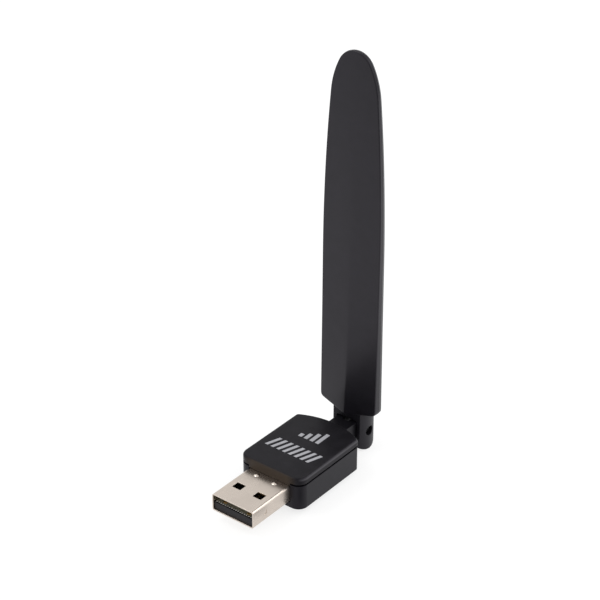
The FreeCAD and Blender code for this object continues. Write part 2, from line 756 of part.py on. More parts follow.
def power_regulator():
    """Small moulded regulator with three legs."""
    x, y = REGULATOR_MIDDLE
    width, length, height = REGULATOR_CASE
    case_bottom = d.board_top + REGULATOR_STAND
    case = box("regulator_case", (x - width / 2, x + width / 2), (y - length / 2, y + length / 2),
               (case_bottom, case_bottom + height))
    legs = []
    for offset, side in LEG_PLACES:
        near, far = sorted((y + side * (length / 2 - SINK), y + side * LEG_REACH))
        legs.append(box("regulator_leg", (x + offset - LEG_WIDTH / 2, x + offset + LEG_WIDTH / 2),
                        (near, far), (d.board_top, d.board_top + LEG_HEIGHT)))
    return combine("Fuse", "power_regulator", case, *legs)


def power_inductor():
    """Drum-shaped coil with a square base."""
    x, y = INDUCTOR_MIDDLE
    base = on_board("inductor_base", INDUCTOR_MIDDLE, INDUCTOR_BASE, INDUCTOR_BASE,
                    INDUCTOR_BASE_HEIGHT)
    drum = rod("inductor_drum", (x, y, d.board_top + INDUCTOR_BASE_HEIGHT - SINK), (0, 0, 1),
               DRUM_RADIUS, DRUM_HEIGHT)
    return combine("Fuse", "power_inductor", base, drum)


# ---- antenna lead ----

LEAD_PAD = (3.4, 11.6)
LEAD_TURN = (3.4, 14.6)
LEAD_JOINS_AXIS = 18.7
LEAD_LEAVES_AXIS = 5.0
LEAD_MEETS_FOIL = 11.0
LEAD_TOP = 23.5
ARC_SHARE = 0.45    # of the shorter straight run, taken up by the arc at its end


def tangent_path(points):
    """A wire of straight runs and tangent arcs, each arc as large as its two runs allow."""
    corners = [FreeCAD.Vector(*point) for point in points]
    edges = []
    start = corners[0]
    for before, corner, after in zip(corners, corners[1:], corners[2:]):
        back = before - corner
        ahead = after - corner
        half_turn = (math.pi - back.getAngle(ahead)) / 2
        reach = ARC_SHARE * min(back.Length, ahead.Length)
        radius = reach / math.tan(half_turn)
        print(f"lead bend radius {radius:.2f} mm")
        back.normalize()
        ahead.normalize()
        entry = corner + back * reach
        leave = corner + ahead * reach
        to_centre = (back + ahead).normalize()
        centre = corner + to_centre * math.hypot(reach, radius)
        edges.append(Part.LineSegment(start, entry).toShape())
        edges.append(Part.Arc(entry, centre - to_centre * radius, leave).toShape())
        start = leave
    edges.append(Part.LineSegment(start, corners[-1]).toShape())
    return Part.Wire(edges)


def lead(label, points):
    """A length of the coaxial lead along a route of points."""
    path = tangent_path(points)
    first = FreeCAD.Vector(*points[0])
    heading = FreeCAD.Vector(*points[1]) - first
    radius = d.lead_radius.number
    section = Part.Wire(Part.Circle(first, heading, radius).toShape())
    item = document.addObject("Part::Feature", label)
    item.Shape = path.makePipeShell([section], True, False)
    expected = math.pi * radius * radius * path.Length
    if abs(item.Shape.Volume - expected) > 0.01 * expected:
        raise ValueError(f"{label}: volume {item.Shape.Volume:.3f}, expected {expected:.3f}")
    return item


def coax_housing_run():
    """From the board's aerial pad to the knuckle's bore."""
    end = d.flange_front.number - d.slip.number
    return lead("coax_housing_run",
                [(*LEAD_PAD, 0), (*LEAD_TURN, 0), (0, LEAD_JOINS_AXIS, 0), (0, end, 0)])


def coax_knuckle_run():
    """Along the swivel axis to the middle of the hinge."""
    end = d.hinge_reach.number - d.lead_end.number
    return lead("coax_knuckle_run", [(0, d.flange_front.number, 0), (0, end, 0)])


def coax_antenna_run():
    """From the hinge up the neck to the antenna board's back face."""
    hinge = d.hinge_reach.number
    on_foil = d.blade_middle.number + d.lead_radius.number
    return lead("coax_antenna_run",
                [(0, hinge, d.lead_end.number), (0, hinge, LEAD_LEAVES_AXIS),
                 (0, on_foil, LEAD_MEETS_FOIL), (0, on_foil, LEAD_TOP)])


# ---- knuckle and hinge ----

def swivel_knuckle():
    """Flange with a stop lug, journal, collar, and a tongue with a slotted eye."""
    body = new_body("swivel_knuckle")
    journal_start = d.bearing_front - d.running
    pad_back(body, d.flange_front, journal_start, draw_circle(0, 0, d.flange_radius))
    pad_back(body, d.flange_front, d.collar_front + SINK, draw_circle(0, 0, d.journal_radius))
    pad_back(body, d.collar_front, d.collar_rear, draw_circle(0, 0, d.collar_radius))
    pad_back(body, d.flange_front, journal_start,
             draw_rectangle(-d.lug_width / 2, d.lug_width / 2, d.journal_radius, d.lug_reach))
    half_width = d.tongue_width / 2
    eye_start = d.collar_rear - SINK
    pad_across(body, half_width,
               draw_rectangle(eye_start, d.hinge_reach, -d.eye_radius, d.eye_radius))
    pad_across(body, half_width, draw_circle(d.hinge_reach, 0, d.eye_radius))
    cut_across(body, d.lead_slot / 2,
               draw_rectangle(d.lead_slot_front, d.hinge_reach + d.eye_radius + CLEAR,
                              -d.eye_radius - CLEAR, d.eye_radius + CLEAR))
    cut_across(body, half_width + CLEAR, draw_circle(d.hinge_reach, 0, d.pin_radius))
    cut_back(body, d.flange_front - CLEAR, d.lead_slot_front + SINK,
             draw_circle(0, 0, d.lead_bore))
    return body


def hinge_pin(label, side):
    """Stub pin from the tongue's cheek into one ear."""
    inner = d.lead_slot / 2
    outer = d.neck_radius - d.pin_recess
    start = (side * inner, d.hinge_reach, 0)
    return rod(label, start, (side, 0, 0), d.pin_radius, outer - inner)


def neck_top():
    """A prism whose top slopes down to the middle, as the blade's foot does."""
    half = d.blade_width / 2
    sketch = document.addObject("Sketcher::SketchObject", "fork_top_sketch")
    sketch.Placement.Rotation = FreeCAD.Rotation(FreeCAD.Vector(1, 0, 0), 90)
    set_base(sketch, 0, d.hinge_reach + d.neck_radius + CLEAR, 0)
    below = -d.ear_round - CLEAR
    polygon(sketch, [(-half, below), (half, below), (half, d.blade_corner),
                     (0, d.blade_bottom), (-half, d.blade_corner)])
    prism = document.addObject("Part::Extrusion", "fork_top_prism")
    prism.Base = sketch
    prism.DirMode = "Normal"
    prism.Solid = True
    set_size(prism, "LengthFwd", 2 * (d.neck_radius + CLEAR))
    return prism


def antenna_fork():
    """Round neck with flat front and back, two ears about the pins, and a clamped spigot."""
    reach = d.hinge_reach
    middle = d.blade_middle
    wide = d.neck_radius + CLEAR
    neck = rod("fork_neck", (0, reach, -d.ear_round), (0, 0, 1), d.neck_radius,
               d.ear_round + d.blade_corner)
    ear_disc = rod("fork_ear_disc", (-wide, reach, 0), (1, 0, 0), d.ear_round, 2 * wide)
    ear_top = box("fork_ear_top", (-wide, wide), (reach - wide, reach + wide),
                  (0, d.blade_corner + CLEAR))
    ear_form = combine("Fuse", "fork_ear_form", ear_disc, ear_top)
    flats = box("fork_flats", (-wide, wide), (reach - d.neck_flat, reach + d.neck_flat),
                (-d.ear_round - CLEAR, d.blade_corner + CLEAR))
    blank = combine("Common", "fork_blank", neck, ear_form, neck_top(), flats)
    spigot = box("fork_spigot", (-d.spigot_width / 2, d.spigot_width / 2),
                 (middle - d.spigot_thickness / 2, middle + d.spigot_thickness / 2),
                 (d.blade_bottom - 5 * SINK, d.spigot_top))
    solid = combine("Fuse", "fork_solid", blank, spigot)
    gap = box("fork_gap", (-d.ear_gap / 2, d.ear_gap / 2), (reach - wide, reach + wide),
              (-d.ear_round - CLEAR, d.gap_roof))
    pin_hole = rod("fork_pin_hole", (-wide, reach, 0), (1, 0, 0),
                   d.pin_radius + d.pin_clearance, 2 * wide)
    channel_bottom = d.blade_bottom - 4 * SINK
    lead_hole = rod("fork_lead_hole", (0, reach, d.gap_roof - SINK), (0, 0, 1),
                    d.fork_lead_radius, channel_bottom - d.gap_roof + CLEAR)
    lead_channel = box("fork_lead_channel", (-d.lead_channel / 2, d.lead_channel / 2),
                       (middle - d.slip, reach + d.lead_end), (channel_bottom, d.spigot_top + CLEAR))
    return combine("Cut", "antenna_fork", solid, gap, pin_hole, lead_hole, lead_channel)


# ---- blade ----

LOFT_OVERLAP = 0.4
BLADE_MARGIN = 6.0
BLADE_DEPTH = 8.0
TIP_TURN = math.radians(62)
SHOULDER_TURN = math.radians(85)


def straight_between(low, low_height, high, high_height, height):
    """A size that changes evenly with height between two known ones."""
    share = (height - low_height) / (high_height - low_height)
    return low + (high - low) * share


def edge_at(height):
    """Half the side edge's thickness at a height."""
    return straight_between(d.edge_bottom, d.blade_bottom, d.edge_tip, d.blade_tip, height) / 2


def crown_at(height, above_knee):
    """How far the crease stands out of a face at a height."""
    if above_knee:
        return straight_between(d.crown_knee, d.blade_knee, d.crown_tip, d.blade_tip, height)
    return straight_between(d.crown_bottom, d.blade_bottom, d.crown_knee, d.blade_knee, height)


def faceted_loft(body, kind, side, half_width, skin, stations):
    """Loft of five-sided sections on one side of the middle plane, one for each station."""
    before = volume_of(body)
    sketches = []
    for height, above_knee in stations:
        edge = d.blade_middle + side * (edge_at(height) - skin)
        crease = d.blade_middle + side * (edge_at(height) + crown_at(height, above_knee) - skin)
        sketch = sketch_on(body, "XY_Plane", height)
        polygon(sketch, [(-half_width, d.blade_middle), (-half_width, edge), (0, crease),
                         (half_width, edge), (half_width, d.blade_middle)])
        sketch.Visibility = False
        sketches.append(sketch)
    loft = body.newObject(f"PartDesign::{kind}", f"{body.Name}_loft")
    loft.Profile = sketches[0]
    loft.Sections = sketches[1:]
    loft.Ruled = True
    check_change(body, before, kind == "AdditiveLoft")


def outside_blade(sketch):
    """The area outside the blade's right half: sloping foot, straight side, flank and tip."""
    half = d.blade_width / 2
    w, r1, r2 = half.number, d.tip_radius.number, d.shoulder_radius.number
    top, low, corner = d.blade_tip.number, d.blade_bottom.number, d.blade_corner.number
    flank = d.flank_start.number
    tip_centre = top - r1
    sine, cosine = math.sin(TIP_TURN), math.cos(TIP_TURN)
    shoulder = ((r1 - r2) * sine, tip_centre + (r1 - r2) * cosine)
    reach = shoulder[0] + r2 * math.sin(SHOULDER_TURN)
    r3 = (w - reach) / (1 - math.sin(SHOULDER_TURN))
    margin = BLADE_MARGIN
    tip_arc = arc(sketch, (0, tip_centre), r1, math.pi / 2 - TIP_TURN, math.pi / 2)
    shoulder_arc = arc(sketch, shoulder, r2, math.pi / 2 - SHOULDER_TURN, math.pi / 2 - TIP_TURN)
    flank_arc = arc(sketch, (w - r3, flank), r3, 0, math.pi / 2 - SHOULDER_TURN)
    side = line(sketch, (w, flank), (w, corner))
    foot = line(sketch, (w, corner), (0, low))
    drop = line(sketch, (0, low), (0, low - margin))
    under = line(sketch, (0, low - margin), (w + margin, low - margin))
    beside = line(sketch, (w + margin, low - margin), (w + margin, top + margin))
    over = line(sketch, (w + margin, top + margin), (0, top + margin))
    rise = line(sketch, (0, top + margin), (0, top))
    for first, first_end, second, second_end in (
            (tip_arc, 1, shoulder_arc, 2), (shoulder_arc, 1, flank_arc, 2), (flank_arc, 1, side, 1)):
        sketch.addConstraint(Sketcher.Constraint("Tangent", first, first_end, second, second_end))
    chain = (side, foot, drop, under, beside, over, rise)
    for first, second in zip(chain, chain[1:]):
        sketch.addConstraint(Sketcher.Constraint("Coincident", first, 2, second, 1))
    sketch.addConstraint(Sketcher.Constraint("Coincident", rise, 2, tip_arc, 2))
    constrain(sketch, "Radius", tip_arc, d.tip_radius)
    constrain(sketch, "Radius", shoulder_arc, d.shoulder_radius)
    place(sketch, tip_arc, 3, 0, d.blade_tip - d.tip_radius)
    constrain(sketch, "DistanceX", -1, 1, tip_arc, 2, 0)
    place(sketch, side, 1, half, d.flank_start)
    place(sketch, side, 2, half, d.blade_corner)
    place(sketch, foot, 2, 0, d.blade_bottom)
    place(sketch, under, 1, 0, d.blade_bottom - margin)
    place(sketch, beside, 1, half + margin, d.blade_bottom - margin)
    place(sketch, over, 1, half + margin, d.blade_tip + margin)
    constrain(sketch, "DistanceX", -1, 1, over, 2, 0)
    sketch.addConstraint(Sketcher.Constraint("Horizontal", over))


def trim_blade(body):
    """Cut the blade to its outline, one half and then its mirror image."""
    before = volume_of(body)
    sketch = sketch_on(body, "XZ_Plane", -(d.blade_middle - BLADE_DEPTH))
    outside_blade(sketch)
    trim = pocket(body, sketch, 2 * BLADE_DEPTH)
    mirror = body.newObject("PartDesign::Mirrored", f"{body.Name}_mirrored")
    mirror.Originals = [trim]
    plane = next(item for item in body.Origin.OriginFeatures if item.Role == "YZ_Plane")
    mirror.MirrorPlane = (plane, [""])
    body.Tip = mirror
    check_change(body, before, False)


def blade_shell(label, side):
    """One half of the blade: two long facets about a crease, hollow in its lower part."""
    body = new_body(label)
    outside = ((d.blade_bottom - LOFT_OVERLAP, False), (d.blade_knee, True),
               (d.blade_tip + LOFT_OVERLAP, True))
    faceted_loft(body, "AdditiveLoft", side, d.blade_width / 2 + LOFT_OVERLAP, size(0), outside)
    trim_blade(body)
    inside = ((d.cavity_bottom, False), (d.blade_knee, True), (d.cavity_top, True))
    faceted_loft(body, "SubtractiveLoft", side, d.cavity_width / 2, d.blade_skin, inside)
    half_spigot = d.spigot_width / 2 + d.slip
    if side < 0:
        low_y = d.blade_middle - d.spigot_thickness / 2 - d.slip
        high_y = d.blade_middle
    else:
        low_y = d.blade_middle
        high_y = d.hinge_reach + d.lead_end
    cut_down(body, d.cavity_bottom + CLEAR, d.blade_bottom - CLEAR,
             draw_rectangle(-half_spigot, half_spigot, low_y, high_y))
    return body


UPPER_ARM = ((-1.2, 1.2), (25.0, 57.0))
FORK_BAR = ((-2.3, 2.3), (22.6, 24.2))
FORK_SIDES = (((-2.3, -1.1), (15.0, 23.0)), ((1.1, 2.3), (15.0, 23.0)))


def antenna_board():
    """Thin board that carries the dipole, just ahead of the blade's middle plane."""
    half = d.antenna_board_width / 2
    back = d.blade_middle - d.foil
    return box("antenna_board", (-half, half), (back - d.antenna_board_thick, back),
               (d.antenna_board_low, d.antenna_board_high))


def dipole_arms():
    """Copper on the board's back: a long upper arm, and a fork-shaped arm beside the lead."""
    depth = (d.blade_middle - d.foil, d.blade_middle)
    upper, bar, *sides = [box("dipole_strip", across, depth, up)
                          for across, up in (UPPER_ARM, FORK_BAR, *FORK_SIDES)]
    lower = combine("Fuse", "dipole_lower", bar, *sides)
    return group("dipole_arms", [upper, lower])


# ---- assembly ----

WIFI_CHIP = (5.0, 5.0, 0.85)
CRYSTAL = (1.6, 2.0, 0.5)
CAPACITOR = (0.5, 1.0, 0.5)
RESISTOR = (0.5, 1.0, 0.35)
MATCHING_PART = (0.5, 0.6, 0.3)


def build():
    """Every node, from the plug to the tip of the antenna."""
    nodes = [bottom_shell(), top_cover(), lid_print(), usb_shell(), usb_insulator()]
    nodes += [usb_contact(*contact) for contact in CONTACTS]
    nodes.append(circuit_board())
    nodes.append(on_board("wifi_chip", CHIP_MIDDLE, *WIFI_CHIP))
    nodes.append(on_board("crystal", CRYSTAL_MIDDLE, *CRYSTAL))
    nodes += [power_regulator(), power_inductor()]
    nodes.append(row_of_parts("ceramic_capacitors", CAPACITORS, *CAPACITOR))
    nodes.append(row_of_parts("chip_resistors", RESISTORS, *RESISTOR))
    nodes.append(row_of_parts("rf_matching_parts", MATCHING_PARTS, *MATCHING_PART))
    nodes += [coax_housing_run(), swivel_knuckle(), coax_knuckle_run()]
    nodes += [hinge_pin("hinge_pin_left", -1), hinge_pin("hinge_pin_right", 1)]
    nodes += [antenna_fork(), blade_shell("antenna_front_shell", -1),
              blade_shell("antenna_back_shell", 1)]
    nodes += [antenna_board(), dipole_arms(), coax_antenna_run()]
    return nodes


def check(nodes):
    """Stop on any failed object or unsound shape."""
    document.recompute()
    for item in document.Objects:
        if "Invalid" in item.State or "Error" in item.State:
            raise ValueError(f"{item.Name} failed: {item.State}")
    for node in nodes:
        if node.Shape.isNull() or not node.Shape.isValid() or not node.Shape.Solids:
            raise ValueError(f"{node.Label} has no sound solid")


def write(nodes):
    os.makedirs("parts", exist_ok=True)
    for node in nodes:
        node.Shape.exportStep(f"parts/{node.Label}.step")
        limits = node.Shape.BoundBox
        print(f"{node.Label}: {len(node.Shape.Solids)} solids, {node.Shape.Volume:.2f} mm3, "
              f"z {limits.ZMin:.2f} to {limits.ZMax:.2f}")


pieces = build()
check(pieces)
write(pieces)
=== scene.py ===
import math

import bmesh
import bpy
import numpy as np
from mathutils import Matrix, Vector


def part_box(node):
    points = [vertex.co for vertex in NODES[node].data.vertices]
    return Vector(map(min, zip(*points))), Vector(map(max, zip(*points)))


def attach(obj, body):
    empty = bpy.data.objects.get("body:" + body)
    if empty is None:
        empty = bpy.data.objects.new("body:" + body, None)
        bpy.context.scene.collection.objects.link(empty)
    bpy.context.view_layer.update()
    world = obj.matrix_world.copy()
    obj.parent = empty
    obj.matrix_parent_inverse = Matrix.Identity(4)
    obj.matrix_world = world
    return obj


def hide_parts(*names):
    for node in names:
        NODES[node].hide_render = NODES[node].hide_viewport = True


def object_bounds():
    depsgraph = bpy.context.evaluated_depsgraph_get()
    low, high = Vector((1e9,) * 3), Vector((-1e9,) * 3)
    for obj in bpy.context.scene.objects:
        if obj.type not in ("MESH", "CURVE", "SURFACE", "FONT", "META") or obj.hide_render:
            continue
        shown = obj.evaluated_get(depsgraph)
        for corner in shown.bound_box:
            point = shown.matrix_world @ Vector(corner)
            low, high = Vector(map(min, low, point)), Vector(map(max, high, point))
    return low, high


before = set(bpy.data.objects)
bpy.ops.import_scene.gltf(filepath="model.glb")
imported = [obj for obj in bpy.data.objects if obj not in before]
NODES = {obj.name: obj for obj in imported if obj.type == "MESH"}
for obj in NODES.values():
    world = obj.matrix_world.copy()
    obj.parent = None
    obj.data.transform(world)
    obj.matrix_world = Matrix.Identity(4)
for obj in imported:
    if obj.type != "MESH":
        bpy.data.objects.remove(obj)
cad_low, cad_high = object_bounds()

MM = 0.001


# ---- materials ----

REFRACTION = 1.5


class Shader:
    """A node material with a Principled shader, and short calls that add the nodes before it."""

    def __init__(self, name, colour, roughness, metallic=0.0, specular=0.5):
        self.material = bpy.data.materials.new(name)
        self.material.use_nodes = True
        self.tree = self.material.node_tree
        self.shader = self.tree.nodes["Principled BSDF"]
        self.colour = colour
        self.shader.inputs["Base Color"].default_value = (*colour, 1.0)
        self.shader.inputs["Roughness"].default_value = roughness
        self.shader.inputs["Metallic"].default_value = metallic
        self.shader.inputs["Specular IOR Level"].default_value = specular
        self.shader.inputs["IOR"].default_value = REFRACTION
        self.place = self.add("ShaderNodeTexCoord").outputs["Object"]

    def add(self, kind, **settings):
        """Add a node of a kind, with its settings."""
        node = self.tree.nodes.new(kind)
        for name, value in settings.items():
            setattr(node, name, value)
        return node

    def link(self, start, end):
        """Join an output to an input."""
        self.tree.links.new(start, end)

    def stretched(self, scale, turn=(0, 0, 0)):
        """Object coordinates scaled along each axis, after a turn."""
        mapping = self.add("ShaderNodeMapping")
        mapping.inputs["Scale"].default_value = scale
        mapping.inputs["Rotation"].default_value = turn
        self.link(self.place, mapping.inputs["Vector"])
        return mapping.outputs["Vector"]

    def noise(self, size, detail=3.0, vector=None, roughness=0.5):
        """Noise whose features are about size millimetres across."""
        node = self.add("ShaderNodeTexNoise")
        node.inputs["Scale"].default_value = 1.0 / (size * MM)
        node.inputs["Detail"].default_value = detail
        node.inputs["Roughness"].default_value = roughness
        self.link(vector or self.place, node.inputs["Vector"])
        return node.outputs["Fac"]

    def cells(self, size):
        """Distance to the nearest cell middle, for cells about size millimetres across."""
        node = self.add("ShaderNodeTexVoronoi")
        node.inputs["Scale"].default_value = 1.0 / (size * MM)
        self.link(self.place, node.inputs["Vector"])
        return node.outputs["Distance"]

    def math(self, operation, first, second=None):
        """A math node on a value and, if given, a number or another value."""
        node = self.add("ShaderNodeMath", operation=operation)
        self.link(first, node.inputs[0])
        if isinstance(second, float):
            node.inputs[1].default_value = second
        elif second is not None:
            self.link(second, node.inputs[1])
        return node.outputs["Value"]

    def along(self, way):
        """Distance along a direction from the origin."""
        node = self.add("ShaderNodeVectorMath", operation="DOT_PRODUCT")
        node.inputs[1].default_value = way
        self.link(self.place, node.inputs[0])
        return node.outputs["Value"]

    def away_from(self, point):
        """Distance from a point."""
        node = self.add("ShaderNodeVectorMath", operation="DISTANCE")
        node.inputs[1].default_value = point
        self.link(self.place, node.inputs[0])
        return node.outputs["Value"]

    def spread(self, value, low, high, to_low, to_high):
        """The value's part between low and high, stretched between two new ends."""
        node = self.add("ShaderNodeMapRange")
        for name, number in (("From Min", low), ("From Max", high),
                             ("To Min", to_low), ("To Max", to_high)):
            node.inputs[name].default_value = number
        self.link(value, node.inputs["Value"])
        return node.outputs["Result"]

    def tint(self, amount, other):
        """Mix the base colour so far with another colour by amount."""
        mix = self.add("ShaderNodeMix", data_type="RGBA")
        socket = self.shader.inputs["Base Color"]
        if socket.links:
            self.link(socket.links[0].from_socket, mix.inputs["A"])
        else:
            mix.inputs["A"].default_value = (*self.colour, 1.0)
        mix.inputs["B"].default_value = (*other, 1.0)
        self.link(amount, mix.inputs["Factor"])
        self.link(mix.outputs["Result"], socket)

    def rough(self, value):
        """Take the roughness from a value."""
        self.link(value, self.shader.inputs["Roughness"])

    def bump(self, height, depth):
        """Give the surface relief up to depth millimetres high."""
        node = self.add("ShaderNodeBump")
        node.inputs["Strength"].default_value = 1.0
        node.inputs["Distance"].default_value = depth * MM
        self.link(height, node.inputs["Height"])
        self.link(node.outputs["Normal"], self.shader.inputs["Normal"])


def times(colour, factor):
    """A colour with every channel multiplied by a factor."""
    return tuple(channel * factor for channel in colour)


# Painted highlight along the cover's upper side edges.
PAINTED_EDGE_HIGHLIGHT = (0.075, 0.072, 0.080)
# Painted reflection of light bounced off the plug, browning the cover's front face.
PAINTED_PLUG_REFLECTION = (0.048, 0.036, 0.026)
VIOLET_SHEEN = (0.93, 0.89, 1.0)

# Between which distances the painted reflection of the plug fades out, behind the front face
# and beside the plug, and the sizes of the clouds and specks, all in millimetres.
FRONT_START, FRONT_END = 0.05, 0.45
ABOVE_PLUG, BESIDE_PLUG = 5.0, 8.0
CLOUD_SIZE = 3.0
SPECK_SPACING = 0.9

CLOUD_GAIN = 1.5
SPECK_LIFT = 0.02


def moulded(name, colour, roughness, grain, depth, specular, painted_lights=None):
    """Black moulded plastic: fine spark-eroded grain, faint cloudiness and a few pale specks.

    If the last argument is given as (low, high, side), in millimetres, a painted highlight makes
    the plastic paler between those two heights beyond that distance to either side, and a painted
    reflection of the plug makes its front face browner.
    """
    made = Shader(name, colour, roughness, specular=specular)
    made.shader.inputs["Specular Tint"].default_value = (*VIOLET_SHEEN, 1.0)
    grain_height = made.noise(grain, detail=4.0, roughness=0.6)
    cloud = made.noise(CLOUD_SIZE, detail=3.0)
    speck = made.cells(SPECK_SPACING)
    made.tint(made.spread(cloud, 0.35, 0.7, 0.0, 1.0), times(colour, CLOUD_GAIN))
    made.tint(made.spread(speck, 0.0, 0.05, 0.4, 0.0), tuple(SPECK_LIFT + c for c in colour))
    if painted_lights is not None:
        low, high, side = (level * MM for level in painted_lights)
        # Painted highlight: a paler band high on the sides, beyond the given distance from the
        # middle.
        parts = made.add("ShaderNodeSeparateXYZ")
        made.link(made.place, parts.inputs["Vector"])
        aside = made.math("ABSOLUTE", parts.outputs["X"])
        band = made.math("PINGPONG", made.spread(parts.outputs["Z"], low, high, 0.0, 2.0), 1.0)
        beside = made.spread(aside, side, side + MM, 0.0, 1.0)
        made.tint(made.math("MULTIPLY", band, beside), PAINTED_EDGE_HIGHLIGHT)
        # Painted reflection: the front face above the plug is tinted brown, as if lit by light
        # bounced off the plug.
        near = made.spread(parts.outputs["Y"], FRONT_START * MM, FRONT_END * MM, 1.0, 0.0)
        above = made.spread(aside, ABOVE_PLUG * MM, BESIDE_PLUG * MM, 1.0, 0.0)
        made.tint(made.math("MULTIPLY", near, above), PAINTED_PLUG_REFLECTION)
    made.rough(made.spread(grain_height, 0.3, 0.7, roughness - 0.05, roughness + 0.06))
    made.bump(grain_height, depth)
    return made.material


def brushed_steel(name, colour, roughness):
    """Nickel-plated steel with fine lines along the plug, faint tarnish and small scratches."""
    made = Shader(name, colour, roughness, metallic=1.0)
    lines = made.noise(0.14, detail=3.0, vector=made.stretched((1.0, 0.04, 1.0)))
    tarnish = made.noise(3.5, detail=3.0)
    scratch = made.noise(0.25, detail=1.0, vector=made.stretched((1.0, 0.03, 1.0), (0, 0, 0.5)))
    made.tint(made.spread(tarnish, 0.4, 0.75, 0.0, 0.5), times(colour, 0.86))
    made.tint(made.spread(scratch, 0.70, 0.76, 0.0, 0.35), (0.95, 0.93, 0.90))
    made.tint(made.spread(lines, 0.35, 0.7, 0.0, 0.6), times(colour, 0.90))
    made.rough(made.spread(tarnish, 0.3, 0.7, roughness - 0.02, roughness + 0.03))
    made.bump(lines, 0.00005)
    return made.material


def plated(name, colour, roughness):
    """Smooth plating with faint rubbing marks along the strip."""
    made = Shader(name, colour, roughness, metallic=1.0)
    rub = made.noise(0.12, detail=3.0, vector=made.stretched((1.0, 0.06, 1.0)))
    made.tint(made.spread(rub, 0.45, 0.75, 0.0, 0.6), times(colour, 0.75))
    made.rough(made.spread(rub, 0.3, 0.7, roughness - 0.05, roughness + 0.1))
    made.bump(rub, 0.002)
    return made.material


def printed_ink(name, colour):
    """Pad-printed ink with slightly uneven cover and the plastic's grain under it."""
    made = Shader(name, colour, 0.42)
    grain = made.noise(0.11, detail=3.0)
    cover = made.noise(0.5, detail=3.0)
    made.tint(made.spread(cover, 0.45, 0.8, 0.0, 0.35), times(colour, 0.72))
    made.rough(made.spread(grain, 0.3, 0.7, 0.36, 0.5))
    made.bump(grain, 0.006)
    return made.material


def solder_mask(name):
    """Green mask over copper tracks, with a faint glass weave."""
    made = Shader(name, (0.012, 0.11, 0.045), 0.32)
    tracks = made.add("ShaderNodeTexBrick")
    tracks.inputs["Scale"].default_value = 1.0 / (2.2 * MM)
    tracks.inputs["Mortar Size"].default_value = 0.09
    made.link(made.place, tracks.inputs["Vector"])
    weave = made.noise(0.3, detail=2.0)
    made.tint(tracks.outputs["Fac"], (0.03, 0.2, 0.08))
    made.rough(made.spread(weave, 0.3, 0.7, 0.26, 0.4))
    made.bump(weave, 0.004)
    return made.material


def small_part(name, colour, roughness, metallic=0.0, grain=0.12, depth=0.004):
    """Moulded or fired body of a board component."""
    made = Shader(name, colour, roughness, metallic=metallic)
    height = made.noise(grain, detail=3.0)
    lighter = tuple(min(1.0, channel) for channel in times(colour, 1.5))
    made.tint(made.spread(height, 0.45, 0.75, 0.0, 0.5), lighter)
    made.rough(made.spread(height, 0.3, 0.7, roughness - 0.05, roughness + 0.08))
    made.bump(height, depth)
    return made.material


def cable_jacket(name):
    """Black extruded jacket with faint cloudiness."""
    made = Shader(name, (0.012, 0.012, 0.013), 0.34)
    drawn = made.noise(0.2, detail=2.0)
    made.tint(made.spread(drawn, 0.4, 0.7, 0.0, 1.0), (0.02, 0.02, 0.022))
    made.rough(made.spread(drawn, 0.3, 0.7, 0.28, 0.42))
    made.bump(drawn, 0.005)
    return made.material


def turned_pin(name):
    """Dark steel pin end with turning rings."""
    made = Shader(name, (0.06, 0.06, 0.062), 0.42, metallic=1.0)
    rings = made.add("ShaderNodeTexWave", wave_type="RINGS", rings_direction="X")
    rings.inputs["Scale"].default_value = 1.0 / (0.5 * MM)
    made.link(made.place, rings.inputs["Vector"])
    wear = made.noise(0.4, detail=3.0)
    made.tint(made.spread(wear, 0.5, 0.8, 0.0, 0.6), (0.12, 0.12, 0.12))
    made.rough(made.spread(wear, 0.3, 0.7, 0.34, 0.5))
    made.bump(rings.outputs["Fac"], 0.003)
    return made.material


HOUSING = moulded("housing_black", (0.0044, 0.0040, 0.0058), 0.36, 0.13, 0.008, specular=0.22)
# The cover gets a painted highlight on its upper side edges and a painted reflection of the plug
# on its front face.
LID = moulded("cover_black", (0.0085, 0.0080, 0.0098), 0.38, 0.13, 0.013, specular=0.13,
              painted_lights=(3.90, 4.76, 8.0))
BLADE = moulded("blade_black", (0.0046, 0.0041, 0.0056), 0.32, 0.10, 0.004, specular=0.375)
HINGE = moulded("hinge_black", (0.0044, 0.0041, 0.0056), 0.44, 0.12, 0.005, specular=0.29)
STEEL = brushed_steel("plug_steel", (0.70, 0.62, 0.55), 0.27)
GOLD = plated("contact_gold", (0.80, 0.58, 0.24), 0.34)
TONGUE = moulded("insulator_black", (0.0065, 0.0062, 0.0066), 0.40, 0.15, 0.005, specular=0.28)
LAMINATE_PALE = small_part("tongue_laminate", (0.17, 0.165, 0.12), 0.5, grain=0.25)
TIN = small_part("tinned_pads", (0.80, 0.79, 0.74), 0.35, metallic=0.3, grain=0.2)
INK = printed_ink("silver_ink", (0.42, 0.42, 0.45))
BOARD = solder_mask("board_green")
CHIP = small_part("chip_black", (0.02, 0.02, 0.022), 0.45)
CAN = small_part("crystal_can", (0.7, 0.69, 0.65), 0.28, metallic=1.0)
FERRITE = small_part("ferrite_grey", (0.07, 0.07, 0.075), 0.5)
CERAMIC = small_part("capacitor_tan", (0.42, 0.30, 0.18), 0.4)
RESISTOR = small_part("resistor_black", (0.03, 0.03, 0.03), 0.4)
JACKET = cable_jacket("lead_jacket")
PIN = turned_pin("pin_steel")
LAMINATE = small_part("antenna_laminate", (0.10, 0.16, 0.08), 0.4, grain=0.3)
COPPER = plated("copper_foil", (0.78, 0.42, 0.27), 0.3)

